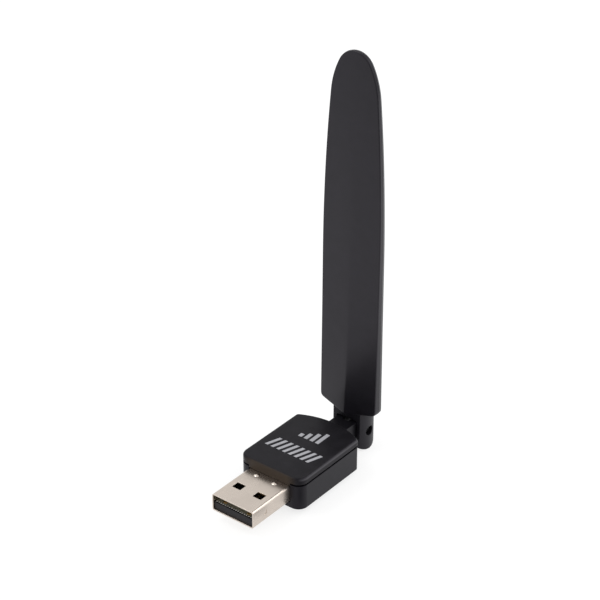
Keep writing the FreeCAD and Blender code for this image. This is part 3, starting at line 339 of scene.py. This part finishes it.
FINISH = {
    "bottom_shell": HOUSING, "top_cover": LID, "lid_print": INK, "usb_shell": STEEL,
    "usb_insulator": TONGUE, "usb_contact_power": GOLD, "usb_contact_data_minus": GOLD,
    "usb_contact_data_plus": GOLD, "usb_contact_ground": GOLD, "circuit_board": BOARD,
    "wifi_chip": CHIP, "crystal": CAN, "power_regulator": CHIP, "power_inductor": FERRITE,
    "ceramic_capacitors": CERAMIC, "chip_resistors": RESISTOR, "rf_matching_parts": CERAMIC,
    "coax_housing_run": JACKET, "swivel_knuckle": HINGE, "coax_knuckle_run": JACKET,
    "hinge_pin_left": PIN, "hinge_pin_right": PIN, "antenna_fork": HINGE,
    "antenna_front_shell": BLADE, "antenna_back_shell": BLADE, "antenna_board": LAMINATE,
    "dipole_arms": COPPER, "coax_antenna_run": JACKET,
}


# ---- CAD nodes that stay ----

MERGE_WITHIN = 0.0005
FLAT_WITHIN = math.radians(0.2)
SHARP_FROM = math.radians(30)


def soften(node, width):
    """Round a CAD node's sharp edges by width millimetres."""
    item = NODES[node]
    item.data.polygons.foreach_set("use_smooth", [True] * len(item.data.polygons))
    weld = item.modifiers.new("weld", "WELD")
    weld.merge_threshold = MERGE_WITHIN * MM
    flat = item.modifiers.new("whole_faces", "DECIMATE")
    flat.decimate_type = "DISSOLVE"
    flat.angle_limit = FLAT_WITHIN
    if width:
        bevel = item.modifiers.new("edge_round", "BEVEL")
        bevel.width = width * MM
        bevel.segments = 3
        bevel.limit_method = "ANGLE"
        bevel.angle_limit = SHARP_FROM
        bevel.use_clamp_overlap = False
        bevel.miter_outer = "MITER_ARC"
    shade = item.modifiers.new("even_normals", "WEIGHTED_NORMAL")
    shade.keep_sharp = False


def round_off(node, detail, passes):
    """Rebuild a CAD node's surface in voxels of detail millimetres, every edge rounded alike."""
    item = NODES[node]
    weld = item.modifiers.new("weld", "WELD")
    weld.merge_threshold = MERGE_WITHIN * MM
    even = item.modifiers.new("even_surface", "REMESH")
    even.mode = "VOXEL"
    even.voxel_size = detail * MM
    even.use_smooth_shade = True
    smooth = item.modifiers.new("soft_edges", "SMOOTH")
    smooth.factor = 0.5
    smooth.iterations = passes


for node, material in FINISH.items():
    NODES[node].data.materials.clear()
    NODES[node].data.materials.append(material)

# Widths of the rounded edges in millimetres; 0 only evens the surface.
EDGE_ROUNDS = {
    "bottom_shell": 0.07, "top_cover": 0.07, "usb_shell": 0.05, "usb_insulator": 0.06,
    "usb_contact_power": 0.04, "usb_contact_data_minus": 0.04, "usb_contact_data_plus": 0.04,
    "usb_contact_ground": 0.04, "circuit_board": 0.03, "wifi_chip": 0.06, "crystal": 0.08,
    "power_regulator": 0.05, "power_inductor": 0.06, "ceramic_capacitors": 0.05,
    "chip_resistors": 0.04, "rf_matching_parts": 0.03,
    "hinge_pin_left": 0.12, "hinge_pin_right": 0.12,
    "coax_housing_run": 0, "coax_knuckle_run": 0, "coax_antenna_run": 0, "antenna_board": 0.03,
    "dipole_arms": 0, "lid_print": 0,
}
for node, width in EDGE_ROUNDS.items():
    soften(node, width)
round_off("antenna_fork", 0.09, 7)
round_off("swivel_knuckle", 0.08, 8)


# ---- pieces that the CAD doesn't have ----

def made_piece(name, mesh, material):
    """An object in the scene from a finished mesh, in one material."""
    data = bpy.data.meshes.new(name)
    mesh.to_mesh(data)
    mesh.free()
    data.materials.append(material)
    item = bpy.data.objects.new(name, data)
    bpy.context.scene.collection.objects.link(item)
    return item


# ---- the antenna's blade ----

# The blade is measured in millimetres: x from its middle, z above the plug's axis.
front_low, front_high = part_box("antenna_front_shell")
MIDDLE = front_high.y / MM
WIDTH = front_high.x / MM
FOOT = front_low.z / MM
TIP = front_high.z / MM

# outline
CORNER = 6.35
CORNER_ROUND = 1.0
FLANK_START = 46.7
SHOULDER_RADIUS = 20.0
SHOULDER_TURN = math.radians(85)
TIP_RADIUS = 4.8
TIP_TURN = math.radians(62)
STRAIGHT_POINTS, FLANK_POINTS, SHOULDER_POINTS, TIP_POINTS = 60, 60, 40, 50
JUST_OVER = 1.0001

# thickness of the edge, and height of the ridge above it
EDGE_FOOT, EDGE_TIP = 2.42, 1.0
CROWN_FOOT, CROWN_TIP = 1.42, 0.15
KNEE = 30.2
KNEE_REACH = 2.0
CROWN_BELOW_KNEE, CROWN_ABOVE_KNEE = 0.585, 0.49
RIDGE_HEIGHTS = [FOOT, KNEE, 60.0, 78.0]
RIDGE_SOFTNESS = [0.12, 0.35, 1.6, 4.0]
FACET_SPAN = WIDTH + 0.4

# round edge, side wall that leans in, and seam between the halves
EDGE_ROUND = 0.24
DRAFT, DRAFT_REACH = 0.07, 1.2
SEAM = 0.06
SMOOTH_BELOW = math.radians(38)

# inside: the face's thickness, where each wall starts and ends, and how deep the spigot's
# pocket is in either half
SKIN = 0.6
CAVITY_SIDE, CAVITY_FLOOR, CAVITY_ROOF = (6.2, 6.6), (7.0, 7.5), (64.5, 65.0)
POCKET_SIDE, POCKET_ROOF = (3.05, 3.3), (8.0, 8.5)
POCKET_FRONT, POCKET_BACK = 1.0, 1.95

# grid: distances from the edge and from the crease, then how many rows and spokes
NEAR_EDGE = [0.0, 0.03, 0.07, 0.12, 0.18, 0.26, 0.4, 0.8]
NEAR_CREASE = [0.0, 0.12, 0.26, 0.45, 0.75, 1.2]
BETWEEN = 7
ABOVE_FOOT = [1.5, 2.5, 3.7, 5.0, 6.5]
LEVEL_BY = 8.25  # height above the foot at which a row would be level
LEVEL_START, LEVEL_ROWS = 13.0, 104
CAP_CENTRE, CAP_SPOKES = 86.0, 90


def outline_points():
    """The right half of the blade's outline from the lower corner to the tip, as (x, z)."""
    tip_centre = TIP - TIP_RADIUS
    gap = TIP_RADIUS - SHOULDER_RADIUS
    shoulder = (gap * math.sin(TIP_TURN), tip_centre + gap * math.cos(TIP_TURN))
    reach = shoulder[0] + SHOULDER_RADIUS * math.sin(SHOULDER_TURN)
    flank = (WIDTH - reach) / (1 - math.sin(SHOULDER_TURN))
    points = [(WIDTH, z) for z in np.linspace(CORNER, FLANK_START, STRAIGHT_POINTS)]
    for turn in np.linspace(0, math.pi / 2 - SHOULDER_TURN, FLANK_POINTS)[1:]:
        points.append((WIDTH - flank + flank * math.cos(turn),
                       FLANK_START + flank * math.sin(turn)))
    for turn in np.linspace(SHOULDER_TURN, TIP_TURN, SHOULDER_POINTS)[1:]:
        points.append((shoulder[0] + SHOULDER_RADIUS * math.sin(turn),
                       shoulder[1] + SHOULDER_RADIUS * math.cos(turn)))
    for turn in np.linspace(TIP_TURN, 0, TIP_POINTS)[1:]:
        points.append((TIP_RADIUS * math.sin(turn), tip_centre + TIP_RADIUS * math.cos(turn)))
    return np.array(points)


OUTLINE = outline_points()


def width_at(height):
    """The blade's half width at a height below the tip's cap."""
    return float(np.interp(height, OUTLINE[:, 1], OUTLINE[:, 0]))


def reach_along(angle):
    """Distance from the cap's centre to the outline in a direction."""
    x, z = OUTLINE[:, 0], OUTLINE[:, 1] - CAP_CENTRE
    turns = np.arctan2(z, x)
    order = np.argsort(turns)
    wanted = min(angle, math.pi - angle)
    return float(np.interp(wanted, turns[order], np.hypot(x, z)[order]))


def stations(length):
    """Distances from the crease or the cap's centre out to the edge."""
    inner, outer = NEAR_CREASE[-1], length - NEAR_EDGE[-1]
    middle = list(np.linspace(inner, outer, BETWEEN + 2)[1:-1])
    return NEAR_CREASE + middle + [length - gap for gap in reversed(NEAR_EDGE)]


def across(width):
    """Places across a row of the given half width, from the left edge to the right one."""
    reaches = stations(width)
    return [-reach for reach in reversed(reaches)] + reaches[1:]


def foot_at(x):
    """Height of the sloping foot at a distance from the middle."""
    return FOOT + (CORNER - FOOT) * abs(x) / WIDTH


def round_corner(x, z):
    """Move a point near a lower corner so that the corner becomes an arc."""
    side = 1 if x >= 0 else -1
    over = (abs(x) - (WIDTH - CORNER_ROUND)) / CORNER_ROUND
    down = 1 - (z - foot_at(x)) / CORNER_ROUND
    if min(over, down) <= 0 or max(over, down) > JUST_OVER:
        return x, z
    new_over = over * math.sqrt(1 - down * down / 2)
    new_down = down * math.sqrt(1 - over * over / 2)
    new_x = WIDTH - CORNER_ROUND + new_over * CORNER_ROUND
    return side * new_x, foot_at(new_x) + (1 - new_down) * CORNER_ROUND


def grid_rows():
    """Rows of points (x, z) from the sloping foot, which level out, up to the cap's centre."""
    rows = []
    for gap in NEAR_EDGE + ABOVE_FOOT:
        share = (gap / LEVEL_BY) ** 2
        rows.append([round_corner(x, (foot_at(x) + gap) * (1 - share) + (CORNER + gap) * share)
                     for x in across(WIDTH)])
    for height in np.linspace(LEVEL_START, CAP_CENTRE, LEVEL_ROWS):
        rows.append([(x, height) for x in across(width_at(height))])
    return rows


def flat_grid():
    """Points of the blade's plan, the faces between them, and the rim, anticlockwise."""
    points, index = [], []
    for row in grid_rows():
        index.append([len(points) + i for i in range(len(row))])
        points.extend(row)
    faces = []
    for low, high in zip(index, index[1:]):
        faces.extend(zip(low, low[1:], high[1:], high))
    last = index[-1]
    centre = len(last) // 2
    spokes = [last[centre:]]
    for step in range(1, CAP_SPOKES):
        angle = math.pi * step / CAP_SPOKES
        spoke = [last[centre]]
        for reach in stations(reach_along(angle))[1:]:
            spoke.append(len(points))
            points.append((reach * math.cos(angle), CAP_CENTRE + reach * math.sin(angle)))
        spokes.append(spoke)
    spokes.append(list(reversed(last[:centre + 1])))
    for first, second in zip(spokes, spokes[1:]):
        faces.append((first[0], first[1], second[1]))
        faces.extend(zip(first[1:], first[2:], second[2:], second[1:]))
    left = [row[0] for row in reversed(index)]
    right = [row[-1] for row in index]
    rim = index[0][:-1] + right[:-1] + [spoke[-1] for spoke in spokes[:-1]] + left[:-1]
    return np.array(points), faces, rim


def rim_distance(points, loop):
    """Each point's distance to the outline."""
    best = np.full(len(points), np.inf)
    for start, end in zip(loop, np.roll(loop, -1, axis=0)):
        run = end - start
        share = np.clip((points - start) @ run / (run @ run), 0, 1)
        best = np.minimum(best, np.hypot(*(points - start - share[:, None] * run).T))
    return best


def outward_at(loop):
    """Directions out of the blade at each point of the anticlockwise outline."""
    tangent = np.roll(loop, -1, axis=0) - np.roll(loop, 1, axis=0)
    outward = np.stack([tangent[:, 1], -tangent[:, 0]], axis=1)
    return outward / np.linalg.norm(outward, axis=1)[:, None]


def face_height(points, distance):
    """How far the face stands from the middle plane, given each point's distance to the rim."""
    x, z = np.abs(points[:, 0]), points[:, 1]
    edge = (EDGE_FOOT + (EDGE_TIP - EDGE_FOOT) * (z - FOOT) / (TIP - FOOT)) / 2
    crown = np.interp(z, [FOOT, KNEE - KNEE_REACH, KNEE + KNEE_REACH, TIP],
                      [CROWN_FOOT, CROWN_BELOW_KNEE, CROWN_ABOVE_KNEE, CROWN_TIP])
    soft = np.interp(z, RIDGE_HEIGHTS, RIDGE_SOFTNESS)
    slide = np.sqrt(x * x + soft * soft) - soft
    height = edge + crown * (1 - slide / FACET_SPAN)
    inside = np.clip(EDGE_ROUND - distance, 0, EDGE_ROUND)
    return height - (EDGE_ROUND - np.sqrt(EDGE_ROUND ** 2 - inside ** 2))


def smooth_step(value, ends):
    """0 below the first end, 1 above the second, and a smooth rise between them."""
    low, high = ends
    share = np.clip((value - low) / (high - low), 0, 1)
    return share * share * (3 - 2 * share)


def hollow_depth(points, side):
    """Depth of the cavity and of the spigot's pocket behind the face, from the middle plane."""
    x, z = np.abs(points[:, 0]), points[:, 1]
    heights = face_height(points, np.full(len(points), EDGE_ROUND))
    cavity = (1 - smooth_step(x, CAVITY_SIDE)) * smooth_step(z, CAVITY_FLOOR) \
        * (1 - smooth_step(z, CAVITY_ROOF)) * (heights - SKIN)
    pocket = (1 - smooth_step(x, POCKET_SIDE)) * (1 - smooth_step(z, POCKET_ROOF))
    pocket = pocket * (POCKET_FRONT if side < 0 else POCKET_BACK)
    return np.maximum(np.maximum(cavity, pocket), 0.0)


def blade_shell(name, side, node):
    """One half of the blade as a closed shell: face, round edge, side wall, seam and inside."""
    plan, faces, rim = flat_grid()
    loop = plan[rim]
    outward = outward_at(loop)
    distance = rim_distance(plan, loop)
    nearest = [int(np.argmin(((loop - point) ** 2).sum(1))) for point in plan]
    pull = DRAFT * np.clip(1 - distance / DRAFT_REACH, 0, 1)
    drafted = plan - outward[nearest] * pull[:, None]
    mesh = bmesh.new()

    def vertex(place, depth):
        """A point of the plan at a distance from the middle plane, on this half's side."""
        return mesh.verts.new((place[0] * MM, (MIDDLE + side * depth) * MM, place[1] * MM))

    outer = [vertex(*pair) for pair in zip(drafted, face_height(plan, distance))]
    inner = [vertex(*pair) for pair in zip(plan, hollow_depth(plan, side))]
    for index, place in zip(rim, loop - outward * SEAM):
        inner[index].co = Vector((place[0] * MM, MIDDLE * MM, place[1] * MM))
    groove = [vertex(place, SEAM) for place in loop]
    for face in faces:
        mesh.faces.new([outer[index] for index in face])
        mesh.faces.new([inner[index] for index in reversed(face)])
    for order, here in enumerate(rim):
        following = (order + 1) % len(rim)
        there = rim[following]
        mesh.faces.new([outer[here], groove[order], groove[following], outer[there]])
        mesh.faces.new([groove[order], inner[here], inner[there], groove[following]])
    bmesh.ops.recalc_face_normals(mesh, faces=mesh.faces)
    item = made_piece(name, mesh, BLADE)
    item.data.polygons.foreach_set("use_smooth", [True] * len(item.data.polygons))
    item.data.set_sharp_from_angle(angle=SMOOTH_BELOW)
    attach(item, "antenna")
    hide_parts(node)


blade_shell("blade_front", -1, "antenna_front_shell")
blade_shell("blade_back", 1, "antenna_back_shell")


# ---- laminate and tinned pads on the plug's tongue ----

PLATE_SIDES = ((3, 2, 1, 0), (4, 5, 6, 7), (0, 1, 5, 4), (1, 2, 6, 5), (2, 3, 7, 6), (3, 0, 4, 7))


def plates(name, material, boxes):
    """Thin closed plates on the tongue, each given as its low and high corner in millimetres."""
    mesh = bmesh.new()
    for low, high in boxes:
        corners = [mesh.verts.new((x * MM, y * MM, z * MM))
                   for z in (low[2], high[2])
                   for x, y in ((low[0], low[1]), (high[0], low[1]),
                                (high[0], high[1]), (low[0], high[1]))]
        for order in PLATE_SIDES:
            mesh.faces.new([corners[index] for index in order])
    item = made_piece(name, mesh, material)
    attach(item, "housing")


CONTACT_NODES = ("usb_contact_power", "usb_contact_data_minus", "usb_contact_data_plus",
                 "usb_contact_ground")

# In millimetres. BESIDE is the gap beside each contact, TONGUE_LIP the bare front of the tongue,
# and SLOT_END the gap between the laminate in a contact's slot and the contact.
TONGUE_TOP = -0.1
PLATE_THICKNESS = 0.04
LAMINATE_START, LAMINATE_END = 0.42, 6.0
PAD_PITCH, PAD_WIDTH, PAD_LENGTH = 0.62, 0.34, LAMINATE_START / 1.3
BESIDE = 0.06
TONGUE_LIP = 0.32
SLOT_END = 0.12

tongue_low, tongue_high = (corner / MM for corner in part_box("usb_insulator"))
front = tongue_low.y + TONGUE_LIP
plate_top = TONGUE_TOP + PLATE_THICKNESS
edges = [tongue_low.x + BESIDE]
slots = []
for contact in CONTACT_NODES:
    contact_low, contact_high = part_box(contact)
    left, right = contact_low.x / MM, contact_high.x / MM
    edges += [left - BESIDE, right + BESIDE]
    slots.append((left, right, contact_low.y / MM - SLOT_END))
edges.append(tongue_high.x - BESIDE)
strips = [(left, right, front + LAMINATE_END) for left, right in zip(edges[::2], edges[1::2])]
start = front + LAMINATE_START
plates("tongue_laminate", LAMINATE_PALE,
       [((left, start, TONGUE_TOP), (right, end, plate_top))
        for left, right, end in strips + slots if end > start])
pad_count = int((edges[-1] - edges[0]) / PAD_PITCH)
pad_middles = [(order - (pad_count - 1) / 2) * PAD_PITCH for order in range(pad_count)]
plates("tongue_pads", TIN,
       [((middle - PAD_WIDTH / 2, front, TONGUE_TOP),
         (middle + PAD_WIDTH / 2, front + PAD_LENGTH, plate_top)) for middle in pad_middles])


# ---- camera ----

# The camera was fitted to the photo with the plug at its standard size.
AZIMUTH, ELEVATION = math.radians(38.27), math.radians(29.19)
TOWARD_CAMERA = Vector((math.sin(AZIMUTH) * math.cos(ELEVATION),
                        -math.cos(AZIMUTH) * math.cos(ELEVATION), math.sin(ELEVATION)))
camera_data = bpy.data.cameras.new("camera")
camera_data.sensor_width = 36.0
camera_data.lens = 100.71
camera_data.clip_start, camera_data.clip_end = 0.01, 20.0
camera = bpy.data.objects.new("camera", camera_data)
camera.location = (0.2006, -0.2429, 0.22438)
camera.rotation_mode = "QUATERNION"
camera.rotation_quaternion = (-TOWARD_CAMERA).to_track_quat("-Z", "Y")
bpy.context.scene.collection.objects.link(camera)
bpy.context.scene.camera = camera


# ---- lights and surroundings ----

def soft_light(name, place, aim, size, power):
    """A square area light at a place, facing another."""
    data = bpy.data.lights.new(name, "AREA")
    data.size = size
    data.energy = power
    item = bpy.data.objects.new(name, data)
    item.location = place
    item.rotation_mode = "QUATERNION"
    item.rotation_quaternion = (Vector(aim) - Vector(place)).to_track_quat("-Z", "Y")
    bpy.context.scene.collection.objects.link(item)


soft_light("key", (-0.35, -0.25, 0.75), (0, 0.02, 0.03), 0.3, 1.0)
soft_light("right_back", (0.40, 0.56, 0.44), (0, 0.03, 0.03), 0.6, 1.5)

# The light falls from BRIGHTEST to DARKEST as its direction turns toward DARKER_WAY.
DARKER_WAY = (0.76, -0.56, -0.33)
DARKER_FROM, DARKER_TO = -0.9, 0.6
BRIGHTEST, DARKEST = 0.88, 0.80


def studio_world():
    """Surroundings that are white to the camera, and light the object a little unevenly."""
    world = bpy.data.worlds.new("studio")
    bpy.context.scene.world = world
    world.use_nodes = True
    sky = world.node_tree
    backdrop = sky.nodes["Background"]
    backdrop.inputs["Strength"].default_value = 1.0
    direction = sky.nodes.new("ShaderNodeTexCoord")
    toward = sky.nodes.new("ShaderNodeVectorMath")
    toward.operation = "DOT_PRODUCT"
    toward.inputs[1].default_value = DARKER_WAY
    level = sky.nodes.new("ShaderNodeMapRange")
    level.inputs["From Min"].default_value = DARKER_FROM
    level.inputs["From Max"].default_value = DARKER_TO
    level.inputs["To Min"].default_value = BRIGHTEST
    level.inputs["To Max"].default_value = DARKEST
    path = sky.nodes.new("ShaderNodeLightPath")
    choice = sky.nodes.new("ShaderNodeMix")
    choice.inputs["B"].default_value = 1.0
    sky.links.new(direction.outputs["Generated"], toward.inputs[0])
    sky.links.new(toward.outputs["Value"], level.inputs["Value"])
    sky.links.new(path.outputs["Is Camera Ray"], choice.inputs["Factor"])
    sky.links.new(level.outputs["Result"], choice.inputs["A"])
    sky.links.new(choice.outputs["Result"], backdrop.inputs["Color"])


studio_world()
bpy.context.scene.view_settings.view_transform = "Standard"


# ---- floor ----

# Places are in metres.
FLOOR_HALF = 3.0
FLOOR_DROP = 0.00002
PAPER, PAPER_MOTTLE = (0.30, 0.30, 0.30), (0.29, 0.29, 0.29)
SEEN_GLOW, BACK_GLOW = 0.77, 1.45
TO_BACK_RIGHT, TO_FRONT_RIGHT = (0.62, 0.785, 0.0), (0.62, -0.785, 0.0)
OBJECT_MIDDLE = (0.0, 0.02, cad_low.z)
OFF_FRONT_CORNER = (0.0165, -0.0045, cad_low.z)


def floor_paper():
    """White paper that glows evenly to the camera and unevenly to everything else."""
    made = Shader("floor_white", PAPER, 0.7, specular=0.0)

    def fade(distance, start, end, first, last):
        """A level that goes from first to last between two distances in millimetres."""
        return made.spread(distance, start * MM, end * MM, first, last)

    # Painted light and shade in the floor's glow: brighter toward the back right, dimmer toward
    # the front right and around the object, and a dark spot just off the housing's front corner.
    glow = fade(made.along(TO_BACK_RIGHT), 20, 130, SEEN_GLOW, BACK_GLOW)
    for shade in (fade(made.along(TO_FRONT_RIGHT), 70, 140, 1.0, 0.25),
                  fade(made.away_from(OBJECT_MIDDLE), 45, 100, 0.89, 1.0),
                  fade(made.away_from(OFF_FRONT_CORNER), 3.5, 6.0, 0.1, 1.0)):
        glow = made.math("MULTIPLY", glow, shade)
    choice = made.add("ShaderNodeMix")
    choice.inputs["B"].default_value = SEEN_GLOW
    made.link(made.add("ShaderNodeLightPath").outputs["Is Camera Ray"], choice.inputs["Factor"])
    made.link(glow, choice.inputs["A"])
    made.shader.inputs["Emission Color"].default_value = (1.0, 1.0, 1.0, 1.0)
    made.link(choice.outputs["Result"], made.shader.inputs["Emission Strength"])
    made.tint(made.spread(made.noise(0.8, detail=2.0), 0.4, 0.7, 0.0, 1.0), PAPER_MOTTLE)
    return made.material


floor_mesh = bmesh.new()
for x, y in ((-1, -1), (1, -1), (1, 1), (-1, 1)):
    floor_mesh.verts.new((x * FLOOR_HALF, y * FLOOR_HALF, cad_low.z - FLOOR_DROP))
floor_mesh.faces.new(floor_mesh.verts)
floor = made_piece("floor", floor_mesh, floor_paper())
